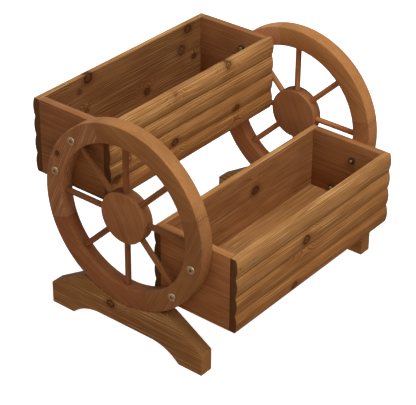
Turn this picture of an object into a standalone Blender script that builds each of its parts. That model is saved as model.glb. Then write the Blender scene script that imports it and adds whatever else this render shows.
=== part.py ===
"""Two-tier wagon-wheel planter, as an assembly of its separate pieces.

Two plank boxes with log-shaped siding are bolted between two spoked wheels. Each wheel stands
in the cradle of its own foot board. Metres, +Z up. X runs along the wheels' common axis, the
lower box is on the -Y side, and the origin is on the ground under the middle of the object.
"""

import math

import bmesh
import bpy
from mathutils import Matrix

# Clearance that neighbouring pieces keep.
GAP = 0.0003

# Boxes: X is their length, Y their depth over the edges of the siding.
BOX_LENGTH = 0.419
BOX_DEPTH = 0.1575
BOX_HEIGHT = 0.134
BOX_OVERHANG = 0.04375
UPPER_BOX_BELOW_HUB = 0.0008
LOWER_BOX_BELOW_HUB = 0.0035
SIDING_EDGE = 0.0102
LOG_RISE = 0.0032
LOGS = 4
LOG_SEGMENTS = 8
PANEL_THICKNESS = 0.014
FLOOR_THICKNESS = 0.012
FLOOR_RISE = 0.013

# Wheels: four felloes, eight dowel spokes and a hub disc each.
WHEEL_DIAMETER = 0.320
WHEEL_THICKNESS = 0.0252
WHEEL_LIFT = 0.066
RIM_WIDTH = 0.034
FELLOES = 4
FELLOE_SEGMENTS = 30
HUB_DIAMETER = 0.089
HUB_THICKNESS = 0.022
SPOKES = 8
SPOKE_DIAMETER = 0.010
HUB_SOCKET_DEPTH = 0.012
SOCKET_TO_BOLT = 0.0027
LEFT_JOINT_ANGLE = 70.0
RIGHT_JOINT_ANGLE = 77.5

# Feet: one board under each wheel.
FOOT_LENGTH = 0.320
FOOT_END_HEIGHT = 0.040
FOOT_PAD_LENGTH = 0.047
SHOULDER_FLAT = 0.0142
CRADLE_DEPTH = 0.018
ARCH_HEIGHT = 0.024
ARCH_END_SLOPE = 40.0
ARCH_BLEND_RADIUS = 0.080
ARCH_SEGMENTS = 6
CRADLE_SEGMENTS = 16

# Fasteners: M6 bolts through rim and end panel, and screws up through each foot.
BOLT_DIAMETER = 0.006
BOLT_SIDES = 20
BOLT_HEAD_DIAMETER = 0.015
BOLT_HEAD_THICKNESS = 0.0018
BOLT_SOCKET_FLATS = 0.005
BOLT_SOCKET_DEPTH = 0.0012
BOLT_PAST_NUT = 0.0015
NUT_FLATS = 0.010
NUT_THICKNESS = 0.005
BOLT_ABOVE_FLOOR = 0.0112
BOLT_SPACING = 0.0665
SCREW_DIAMETER = 0.004
SCREW_HEAD_DIAMETER = 0.008
SCREW_HEAD_THICKNESS = 0.0026
SCREW_BITE = 0.018
SCREW_POINT = 0.005
SCREW_OFFSET = 0.020

# Where the pieces meet, worked out from the sizes above.
HALF_BOX = BOX_LENGTH / 2
WHEEL_RADIUS = WHEEL_DIAMETER / 2
RIM_INNER_RADIUS = WHEEL_RADIUS - RIM_WIDTH
BOLT_CIRCLE = WHEEL_RADIUS - RIM_WIDTH / 2
HUB_RADIUS = HUB_DIAMETER / 2
HUB_Z = WHEEL_LIFT + WHEEL_RADIUS
WHEEL_INNER_X = HALF_BOX + GAP
WHEEL_OUTER_X = WHEEL_INNER_X + WHEEL_THICKNESS
WHEEL_MIDDLE_X = (WHEEL_INNER_X + WHEEL_OUTER_X) / 2
BOX_MIDDLE_Y = WHEEL_RADIUS + BOX_OVERHANG - BOX_DEPTH / 2
INNER_HALF_DEPTH = BOX_DEPTH / 2 - SIDING_EDGE
UPPER_BOX_Z = HUB_Z - UPPER_BOX_BELOW_HUB
LOWER_BOX_Z = HUB_Z - LOWER_BOX_BELOW_HUB - BOX_HEIGHT
FLOOR_TOP = FLOOR_RISE + FLOOR_THICKNESS
BOLT_HOLE_RADIUS = BOLT_DIAMETER / 2 + GAP
SOCKET_RADIUS = SPOKE_DIAMETER / 2 + GAP
SPOKE_OUTER_RADIUS = BOLT_CIRCLE - BOLT_HOLE_RADIUS - SOCKET_TO_BOLT
SPOKE_INNER_RADIUS = HUB_RADIUS - HUB_SOCKET_DEPTH
CRADLE_RADIUS = WHEEL_RADIUS + GAP
FOOT_HEIGHT = WHEEL_LIFT + CRADLE_DEPTH
ARCH_HALF_SPAN = FOOT_LENGTH / 2 - FOOT_PAD_LENGTH
SCREW_HEAD_Z = ARCH_HEIGHT + GAP
SCREW_TIP_Z = WHEEL_LIFT + SCREW_BITE


def clear_scene():
    for obj in list(bpy.data.objects):
        bpy.data.objects.remove(obj, do_unlink=True)


def make_material(name, colour, roughness, metallic=0.0):
    material = bpy.data.materials.new(name)
    material.use_nodes = True
    shader = material.node_tree.nodes["Principled BSDF"]
    shader.inputs["Base Color"].default_value = (*colour, 1.0)
    shader.inputs["Roughness"].default_value = roughness
    shader.inputs["Metallic"].default_value = metallic
    return material


def add_object(name, shape, material=None):
    """Turns a bmesh into a named object. A shape with no material is a cutter."""
    bmesh.ops.recalc_face_normals(shape, faces=shape.faces)
    mesh = bpy.data.meshes.new(name)
    shape.to_mesh(mesh)
    shape.free()
    obj = bpy.data.objects.new(name, mesh)
    bpy.context.scene.collection.objects.link(obj)
    if material:
        mesh.materials.append(material)
    else:
        obj.hide_render = True
        obj.display_type = "WIRE"
    return obj


def cut(obj, cutter):
    modifier = obj.modifiers.new(cutter.name, "BOOLEAN")
    modifier.operation = "DIFFERENCE"
    modifier.solver = "EXACT"
    modifier.object = cutter


def shade_round(obj, angle=math.radians(35)):
    obj.data.shade_smooth()
    obj.data.set_sharp_from_angle(angle=angle)


def prism_along_x(outline, low_x, high_x):
    """A closed (y, z) outline extruded along X."""
    shape = bmesh.new()
    face = shape.faces.new([shape.verts.new((low_x, y, z)) for y, z in outline])
    made = bmesh.ops.extrude_face_region(shape, geom=[face])
    corners = [item for item in made["geom"] if isinstance(item, bmesh.types.BMVert)]
    bmesh.ops.translate(shape, verts=corners, vec=(high_x - low_x, 0, 0))
    return shape


def block(low, high):
    """A box between two corners."""
    outline = [(low[1], low[2]), (high[1], low[2]), (high[1], high[2]), (low[1], high[2])]
    return prism_along_x(outline, low[0], high[0])


def turned(profile, segments):
    """A closed turned body: (along, radius) points from end to end, spun about the Z axis."""
    shape = bmesh.new()
    rings = []
    for along, radius in profile:
        if radius == 0:
            rings.append([shape.verts.new((0, 0, along))])
            continue
        turns = [2 * math.pi * i / segments for i in range(segments)]
        ring = [shape.verts.new((radius * math.cos(t), radius * math.sin(t), along)) for t in turns]
        rings.append(ring)
    for first, second in zip(rings, rings[1:]):
        for i in range(segments):
            j = (i + 1) % segments
            corners = [first[i % len(first)], first[j % len(first)]]
            corners += [second[j % len(second)], second[i % len(second)]]
            shape.faces.new(list(dict.fromkeys(corners)))
    return shape


def rod(low, high, radius, segments):
    return turned([(low, 0), (low, radius), (high, radius), (high, 0)], segments)


def place(shape, matrix):
    bmesh.ops.transform(shape, matrix=matrix, verts=shape.verts)
    return shape


def merge(target, shape):
    """Adds a shape's faces to the target and frees the shape."""
    mesh = bpy.data.meshes.new("merged")
    shape.to_mesh(mesh)
    shape.free()
    target.from_mesh(mesh)
    bpy.data.meshes.remove(mesh)


def along_x(x, y, z, side=1):
    """Stands a turned body on the X direction, its +Z pointing to the given side."""
    return Matrix.Translation((x, y, z)) @ Matrix.Rotation(side * math.pi / 2, 4, "Y")


def wheel_point(radius, angle):
    """(y, z) of a point on a wheel: 0 degrees points to +Y and 90 degrees up."""
    turn = math.radians(angle)
    return radius * math.cos(turn), HUB_Z + radius * math.sin(turn)


def wheel_spoke_matrix(side, angle):
    """Turns a body that lies along Z so that it runs out from the hub at the given angle."""
    turn = Matrix.Rotation(math.radians(angle - 90), 4, "X")
    return Matrix.Translation((side * WHEEL_MIDDLE_X, 0, HUB_Z)) @ turn


def bolt_places():
    """(box, level, y, z) of the four bolts that each wheel takes, all on the rim's mid circle."""
    places = []
    for box, facing, bottom in (("upper", 1, UPPER_BOX_Z), ("lower", -1, LOWER_BOX_Z)):
        low_z = bottom + FLOOR_TOP + BOLT_ABOVE_FLOOR
        for level, z in (("low", low_z), ("high", low_z + BOLT_SPACING)):
            y = facing * math.sqrt(BOLT_CIRCLE**2 - (z - HUB_Z) ** 2)
            places.append((box, level, y, z))
    return places


def log_outline(facing, inner_y, low_z, high_z):
    """A siding board's (y, z) outline: flat inside, with one shallow arc for each log outside."""
    pitch = (high_z - low_z) / LOGS
    radius = (pitch**2 / 4 + LOG_RISE**2) / (2 * LOG_RISE)
    edge_y = inner_y + facing * SIDING_EDGE
    points = [(inner_y, high_z), (inner_y, low_z), (edge_y, low_z)]
    for log in range(LOGS):
        for step in range(1, LOG_SEGMENTS + 1):
            up = pitch * (step / LOG_SEGMENTS - 0.5)
            rise = math.sqrt(radius**2 - up**2) - (radius - LOG_RISE)
            middle = low_z + pitch * (log + 0.5)
            points.append((edge_y + facing * rise, middle + up))
    return points


def make_siding(box, wall, middle_y, facing, low_z, material):
    inner_y = middle_y + facing * INNER_HALF_DEPTH
    outline = log_outline(facing, inner_y, low_z, low_z + BOX_HEIGHT)
    return add_object(
        f"{box}_box_{wall}_siding", prism_along_x(outline, -HALF_BOX, HALF_BOX), material
    )


def make_end_panel(box, side, middle_y, low_z, material, bolt_cutter):
    name = "left" if side < 0 else "right"
    ends = sorted((side * (HALF_BOX - PANEL_THICKNESS), side * HALF_BOX))
    half_depth = INNER_HALF_DEPTH - GAP
    shape = block(
        (ends[0], middle_y - half_depth, low_z), (ends[1], middle_y + half_depth, low_z + BOX_HEIGHT)
    )
    panel = add_object(f"{box}_box_{name}_end", shape, material)
    cut(panel, bolt_cutter)
    return panel


def make_floor(box, middle_y, low_z, material):
    half_length = HALF_BOX - PANEL_THICKNESS - GAP
    half_depth = INNER_HALF_DEPTH - GAP
    low = (-half_length, middle_y - half_depth, low_z + FLOOR_RISE)
    high = (half_length, middle_y + half_depth, low_z + FLOOR_TOP)
    return add_object(f"{box}_box_floor", block(low, high), material)


def make_box(box, middle_y, low_z, materials, bolt_cutters):
    for wall, facing in (("front", -1), ("back", 1)):
        make_siding(box, wall, middle_y, facing, low_z, materials["siding"])
    for side in (-1, 1):
        make_end_panel(box, side, middle_y, low_z, materials["panel"], bolt_cutters[side])
    make_floor(box, middle_y, low_z, materials["floor"])


def felloe_outline(first_angle, last_angle):
    """A quarter of the rim, stopping half a gap short of each joint."""
    trim_outer = math.degrees(GAP / 2 / WHEEL_RADIUS)
    trim_inner = math.degrees(GAP / 2 / RIM_INNER_RADIUS)
    points = []
    for radius, trim, forward in (
        (WHEEL_RADIUS, trim_outer, True),
        (RIM_INNER_RADIUS, trim_inner, False),
    ):
        low, high = first_angle + trim, last_angle - trim
        steps = range(FELLOE_SEGMENTS + 1)
        for step in steps if forward else reversed(steps):
            points.append(wheel_point(radius, low + (high - low) * step / FELLOE_SEGMENTS))
    return points


def make_felloes(wheel, side, joint_angle, material, cutters):
    sweep = 360 / FELLOES
    ends = sorted((side * WHEEL_INNER_X, side * WHEEL_OUTER_X))
    for index in range(FELLOES):
        first = joint_angle + sweep * index
        shape = prism_along_x(felloe_outline(first, first + sweep), *ends)
        felloe = add_object(f"{wheel}_wheel_felloe_{index + 1}", shape, material)
        shade_round(felloe)
        for cutter in cutters:
            cut(felloe, cutter)


def socket_cutter(wheel, side):
    """Eight drilled sockets in one cutter. Each runs from inside the hub to inside the rim."""
    shape = bmesh.new()
    for index in range(SPOKES):
        angle = 360 / SPOKES * index
        hole = rod(SPOKE_INNER_RADIUS - GAP, SPOKE_OUTER_RADIUS + GAP, SOCKET_RADIUS, 14)
        merge(shape, place(hole, wheel_spoke_matrix(side, angle)))
    return add_object(f"{wheel}_socket_cutter", shape)


def make_spokes(wheel, side, material):
    for index in range(SPOKES):
        angle = 360 / SPOKES * index
        shape = rod(SPOKE_INNER_RADIUS, SPOKE_OUTER_RADIUS, SPOKE_DIAMETER / 2, 14)
        place(shape, wheel_spoke_matrix(side, angle))
        shade_round(add_object(f"{wheel}_wheel_spoke_{index + 1}", shape, material))


def make_hub(wheel, side, material, cutter):
    shape = rod(-HUB_THICKNESS / 2, HUB_THICKNESS / 2, HUB_RADIUS, 56)
    place(shape, along_x(side * WHEEL_MIDDLE_X, 0, HUB_Z))
    hub = add_object(f"{wheel}_wheel_hub", shape, material)
    shade_round(hub)
    cut(hub, cutter)


def bolt_hole_cutter(wheel, side):
    """The holes of one side's four bolts, through the rim and the end panels behind it."""
    shape = bmesh.new()
    start = HALF_BOX - PANEL_THICKNESS - 0.002
    for _, _, y, z in bolt_places():
        hole = rod(start, WHEEL_OUTER_X + 0.002, BOLT_HOLE_RADIUS, BOLT_SIDES)
        merge(shape, place(hole, along_x(0, y, z, side)))
    return add_object(f"{wheel}_bolt_hole_cutter", shape)


def hexagon_prism(flats, low, high):
    radius = flats / 2 / math.cos(math.pi / 6)
    return rod(low, high, radius, 6)


def make_bolts(wheel, side, materials):
    head_seat = WHEEL_OUTER_X + GAP
    head_top = head_seat + BOLT_HEAD_THICKNESS
    nut_seat = HALF_BOX - PANEL_THICKNESS - GAP
    nut_end = nut_seat - NUT_THICKNESS
    tip = nut_end - BOLT_PAST_NUT
    shank, head = BOLT_DIAMETER / 2, BOLT_HEAD_DIAMETER / 2
    chamfer = 0.0005
    bolt_profile = [
        (tip, 0),
        (tip, shank - chamfer),
        (tip + chamfer, shank),
        (head_seat, shank),
        (head_seat, head),
        (head_top - chamfer, head),
        (head_top, head - chamfer),
        (head_top, 0),
    ]
    sockets, nut_holes = bmesh.new(), bmesh.new()
    made = []
    for box, level, y, z in bolt_places():
        spot = along_x(0, y, z, side)
        bolt = add_object(
            f"{wheel}_{box}_{level}_bolt",
            place(turned(bolt_profile, BOLT_SIDES), spot),
            materials["bolt"],
        )
        nut = add_object(
            f"{wheel}_{box}_{level}_nut",
            place(hexagon_prism(NUT_FLATS, nut_end, nut_seat), spot),
            materials["nut"],
        )
        hexagon = hexagon_prism(BOLT_SOCKET_FLATS, head_top - BOLT_SOCKET_DEPTH, head_top + 0.002)
        merge(sockets, place(hexagon, spot))
        hole = rod(nut_end - 0.002, nut_seat + 0.002, BOLT_HOLE_RADIUS, BOLT_SIDES)
        merge(nut_holes, place(hole, spot))
        shade_round(bolt)
        made.append((bolt, nut))
    socket = add_object(f"{wheel}_hex_socket_cutter", sockets)
    nut_hole = add_object(f"{wheel}_nut_hole_cutter", nut_holes)
    for bolt, nut in made:
        cut(bolt, socket)
        cut(nut, nut_hole)


def arch_outline():
    """(y, z) of half the underside arch, from its pad's edge to where its top is level."""
    slope = math.radians(ARCH_END_SLOPE)
    blend_rise = ARCH_BLEND_RADIUS * (1 - math.cos(slope))
    blend_run = ARCH_BLEND_RADIUS * math.sin(slope)
    line_run = (ARCH_HEIGHT - blend_rise) / math.tan(slope)
    level_y = ARCH_HALF_SPAN - line_run - blend_run
    points = [(ARCH_HALF_SPAN, 0)]
    for step in range(ARCH_SEGMENTS + 1):
        turn = slope * (1 - step / ARCH_SEGMENTS)
        y = level_y + ARCH_BLEND_RADIUS * math.sin(turn)
        points.append((y, ARCH_HEIGHT - ARCH_BLEND_RADIUS * (1 - math.cos(turn))))
    return points


def foot_outline():
    """The foot's (y, z) outline: arched below, sloped ends, and the wheel's cradle on top."""
    half = FOOT_LENGTH / 2
    lip = math.sqrt(CRADLE_RADIUS**2 - (HUB_Z - FOOT_HEIGHT) ** 2)
    ends = [(half, 0), (half, FOOT_END_HEIGHT), (lip + SHOULDER_FLAT, FOOT_HEIGHT)]
    back = arch_outline()[::-1] + ends
    reach = math.asin(lip / CRADLE_RADIUS)
    cradle = []
    for step in range(CRADLE_SEGMENTS + 1):
        turn = reach * (1 - 2 * step / CRADLE_SEGMENTS)
        cradle.append((CRADLE_RADIUS * math.sin(turn), HUB_Z - CRADLE_RADIUS * math.cos(turn)))
    return back + cradle + [(-y, z) for y, z in reversed(back)]


def make_foot(wheel, side, material, cutter):
    ends = sorted((side * WHEEL_INNER_X, side * WHEEL_OUTER_X))
    foot = add_object(f"{wheel}_foot", prism_along_x(foot_outline(), *ends), material)
    cut(foot, cutter)


def screw_profile(clearance):
    """A countersunk wood screw, point up. With a clearance, the hole that takes it from below."""
    shank = SCREW_DIAMETER / 2 + clearance
    head = SCREW_HEAD_DIAMETER / 2 + clearance
    seat = SCREW_HEAD_Z + SCREW_HEAD_THICKNESS + clearance
    start = SCREW_HEAD_Z - 0.002 if clearance else SCREW_HEAD_Z
    points = [(start, 0), (start, head), (SCREW_HEAD_Z, head), (seat, shank)]
    points += [(SCREW_TIP_Z - SCREW_POINT, shank), (SCREW_TIP_Z + 3 * clearance, 0)]
    return list(dict.fromkeys(points))


def screw_spots(side):
    return [(side * WHEEL_MIDDLE_X, facing * SCREW_OFFSET) for facing in (-1, 1)]


def make_screws(wheel, side, material):
    for label, (x, y) in zip(("front", "back"), screw_spots(side)):
        shape = place(turned(screw_profile(0), 12), Matrix.Translation((x, y, 0)))
        shade_round(add_object(f"{wheel}_foot_{label}_screw", shape, material))


def screw_hole_cutter(wheel, side):
    shape = bmesh.new()
    for x, y in screw_spots(side):
        merge(shape, place(turned(screw_profile(GAP), 12), Matrix.Translation((x, y, 0))))
    return add_object(f"{wheel}_screw_hole_cutter", shape)


def make_wheel(wheel, side, joint_angle, materials, bolt_cutter):
    sockets = socket_cutter(wheel, side)
    screw_holes = screw_hole_cutter(wheel, side)
    make_felloes(wheel, side, joint_angle, materials["rim"], (sockets, bolt_cutter, screw_holes))
    make_spokes(wheel, side, materials["spoke"])
    make_hub(wheel, side, materials["hub"], sockets)
    make_bolts(wheel, side, materials)
    make_foot(wheel, side, materials["foot"], screw_holes)
    make_screws(wheel, side, materials["screw"])


def main():
    clear_scene()
    materials = {
        "siding": make_material("siding_fir", (0.262, 0.117, 0.041), 0.62),
        "panel": make_material("end_panel_fir", (0.124, 0.044, 0.016), 0.66),
        "floor": make_material("floor_fir", (0.120, 0.045, 0.014), 0.68),
        "rim": make_material("rim_fir", (0.170, 0.066, 0.025), 0.60),
        "spoke": make_material("spoke_dowel", (0.195, 0.072, 0.027), 0.58),
        "hub": make_material("hub_fir", (0.162, 0.054, 0.022), 0.60),
        "foot": make_material("foot_fir", (0.165, 0.068, 0.024), 0.64),
        "bolt": make_material("bolt_steel", (0.46, 0.38, 0.29), 0.42, 1.0),
        "nut": make_material("nut_steel", (0.30, 0.29, 0.26), 0.45, 1.0),
        "screw": make_material("screw_steel", (0.42, 0.40, 0.36), 0.40, 1.0),
    }
    bolt_cutters = {-1: bolt_hole_cutter("left", -1), 1: bolt_hole_cutter("right", 1)}
    make_box("upper", BOX_MIDDLE_Y, UPPER_BOX_Z, materials, bolt_cutters)
    make_box("lower", -BOX_MIDDLE_Y, LOWER_BOX_Z, materials, bolt_cutters)
    make_wheel("left", -1, LEFT_JOINT_ANGLE, materials, bolt_cutters[-1])
    make_wheel("right", 1, RIGHT_JOINT_ANGLE, materials, bolt_cutters[1])


main()
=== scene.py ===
"""Looks of a two-tier wagon-wheel planter: stained fir boards, dowel spokes and plated fasteners.

Lengths are in metres and patterns inside the wood are in millimetres. X runs along the wheels'
common axis, the lower box stands on the -Y side and Z points up.
"""

import logging
import math
from dataclasses import dataclass, replace
from enum import Enum
from typing import Any, Sequence

import bmesh
import bpy
from mathutils import Matrix, Vector


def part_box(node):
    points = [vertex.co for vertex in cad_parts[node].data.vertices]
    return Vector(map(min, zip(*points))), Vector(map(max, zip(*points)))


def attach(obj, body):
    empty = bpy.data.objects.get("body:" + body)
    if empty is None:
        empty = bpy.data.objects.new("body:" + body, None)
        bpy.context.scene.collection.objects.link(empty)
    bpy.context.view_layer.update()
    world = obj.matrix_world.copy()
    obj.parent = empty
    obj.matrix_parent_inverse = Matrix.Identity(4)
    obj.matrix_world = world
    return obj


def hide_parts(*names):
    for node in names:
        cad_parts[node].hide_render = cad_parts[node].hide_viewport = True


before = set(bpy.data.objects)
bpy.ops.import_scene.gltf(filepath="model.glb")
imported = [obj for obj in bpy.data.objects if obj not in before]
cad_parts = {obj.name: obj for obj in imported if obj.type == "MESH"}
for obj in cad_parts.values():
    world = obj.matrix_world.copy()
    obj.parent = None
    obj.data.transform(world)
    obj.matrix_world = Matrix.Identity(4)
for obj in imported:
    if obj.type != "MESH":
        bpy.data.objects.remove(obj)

LOG = logging.getLogger("planter")
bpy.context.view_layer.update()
MM = 0.001
BODY = "root"
MATH, VECTOR, RANGE = "ShaderNodeMath", "ShaderNodeVectorMath", "ShaderNodeMapRange"
Socket = bpy.types.NodeSocket
Thing = bpy.types.Object
Finish = bpy.types.Material
Shape = bmesh.types.BMesh
Point2 = tuple[float, float]
Point3 = tuple[float, float, float]
Colour = tuple[float, float, float]


class Place(Enum):
    """A place on the planter that CAD nodes are named after."""

    @property
    def label(self) -> str:
        """The place's name in the CAD nodes."""
        return self.name.lower()


class Side(Place):
    """The two ends of the planter, as the sign of X."""

    LEFT = -1
    RIGHT = 1


class Wall(Place):
    """The two long walls of a box, as the sign of Y."""

    FRONT = -1
    BACK = 1


class Tier(Place):
    """The two boxes."""

    UPPER = 0
    LOWER = 1


class Sawn(Enum):
    """How a board was sawn: the pith from its middle in mm, behind its face and across it."""

    FLAT = (-58.0, 9.0)
    RIFT = (-64.0, -78.0)
    QUARTER = (-12.0, -150.0)


class Figure(Enum):
    """Patterns in the wood: cycles per mm along, out of and across the plank, and octaves."""

    FIBRE = ((0.009, 0.5, 0.5), 4.0)
    STREAK = ((0.007, 0.55, 0.55), 1.0)
    RING_JITTER = ((0.012, 0.22, 0.22), 2.0)
    RING_WAVE = ((0.0055, 0.02, 0.02), 2.0)
    SOAKED_PATCH = ((0.006, 0.045, 0.045), 2.0)
    PALE_PATCH = ((0.009, 0.09, 0.09), 2.0)
    BLOTCH = ((0.011, 0.024, 0.024), 2.0)
    KNOT_EDGE = ((0.09, 0.16, 0.16), 3.0)


def linear(hex_colour: str, tone: float = 1.0) -> tuple[float, float, float, float]:
    """Turns an sRGB hex colour to linear.

    Args:
        hex_colour: Six hex digits, with or without a leading #.
        tone: A factor on the linear colour.

    Returns:
        Linear red, green, blue and an alpha of 1.
    """
    digits = hex_colour.lstrip("#")
    parts = [int(digits[i : i + 2], 16) / 255 for i in (0, 2, 4)]
    curve = [c / 12.92 if c <= 0.04045 else ((c + 0.055) / 1.055) ** 2.4 for c in parts]
    return (curve[0] * tone, curve[1] * tone, curve[2] * tone, 1.0)


def blank_material(name: str) -> Finish:
    """Makes a material with an empty tree."""
    material = bpy.data.materials.new(name)
    material.use_nodes = True
    material.node_tree.nodes.clear()
    return material


class TreeMaker:
    """A node tree under construction."""

    def __init__(self, tree: bpy.types.NodeTree) -> None:
        """Takes the tree to build in."""
        self.tree = tree

    def add(
        self,
        kind: str,
        inputs: dict[str | int, Any] | None = None,
        operation: str = "",
        output: str | int = 0,
        **settings: Any,
    ) -> Socket:
        """Adds a node with its settings, values and links.

        Args:
            kind: The node's type.
            inputs: Values, sockets or lists of sockets by input name or number.
            operation: The node's operation, where it has one.
            output: The output to return.
            **settings: Properties of the node.

        Returns:
            The chosen output socket.
        """
        node = self.tree.nodes.new(kind)
        if operation:
            node.operation = operation
        for name, value in settings.items():
            setattr(node, name, value)
        for key, value in (inputs or {}).items():
            for item in value if isinstance(value, list) else [value]:
                if isinstance(item, Socket):
                    self.tree.links.new(item, node.inputs[key])
                else:
                    node.inputs[key].default_value = item
        return node.outputs[output] if len(node.outputs) else node.inputs[0]


@dataclass(frozen=True)
class Knot:
    """A knot through a board, in mm from the board's middle."""

    along: float
    across: float
    radius: float
    strength: float = 1.0


@dataclass(frozen=True)
class Grain:
    """How a piece was cut from its plank: its middle, its grain and the way its wide face looks."""

    middle: Vector
    along: Vector
    face: Vector
    sawn: Sawn = Sawn.RIFT
    seed: float = 0.0
    knots: tuple[Knot, ...] = ()

    def rotation(self) -> Matrix:
        """The plank's own axes as columns: along the grain, out of the face, across the width."""
        return Matrix((self.along, self.face, self.along.cross(self.face))).transposed()


@dataclass(frozen=True)
class StainedFir:
    """Sawn fir under a penetrating brown stain.

    The soft early wood drinks the stain and turns dark, the hard late wood stays pale as thin
    raised lines, and end grain goes nearly black. The surface is dry and only faintly glossy.

    Attributes:
        body: The stain's paler ground, and deep its darker one.
        soak: Soaked early wood. ridge is raised late wood, knot a knot, end is end grain.
        end_share: How far end grain takes its own colour.
        inside: Factors of painted shade on the face that turns away from the show face.
        bevel: A factor of painted shade on faces cut aslant to the grain, such as the foot's
            slopes.
        tone: A factor on all the stain's colours.
        ring_mm: The width of a growth ring, and wobble_mm how far it wanders.
        streaks: How strong the pale lines are, and rings the dark ones.
        hub_mm: A felloe's distance from its hub, for its finger joints.
        groove_pitch: The height of a log on siding, with groove_start its foot and
            groove_count how many there are.
        drained: Factors of painted shade on siding's foot, and faded factors of painted light on
            its top.
    """

    body: str = "#b27a49"
    deep: str = "#955f35"
    soak: str = "#744421"
    ridge: str = "#d3a26f"
    knot: str = "#52260d"
    end: str = "#55301a"
    end_share: float = 0.85
    inside: Colour = (1.0, 1.0, 1.0)
    bevel: float = 1.0
    tone: float = 1.0
    ring_mm: float = 3.4
    wobble_mm: float = 3.4
    roughness: float = 0.62
    streaks: float = 0.5
    rings: float = 0.42
    hub_mm: float = 0.0
    groove_pitch: float = 0.0
    groove_start: float = 0.0
    groove_count: int = 4
    # Painted shade at the siding's foot and painted light at its top.
    drained: Colour = (0.86, 0.73, 0.57)
    faded: Colour = (1.13, 1.16, 1.10)

    def material(self, name: str, grain: Grain, carried: bool = False) -> Finish:
        """Makes the finish for one piece.

        Args:
            name: The material's name.
            grain: How the piece lies in its plank.
            carried: Reads the piece's own grain attribute, in mm, and not its place.

        Returns:
            The material.
        """
        material = blank_material(name)
        FirSurface(material.node_tree, self, grain, carried).build()
        return material


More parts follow.
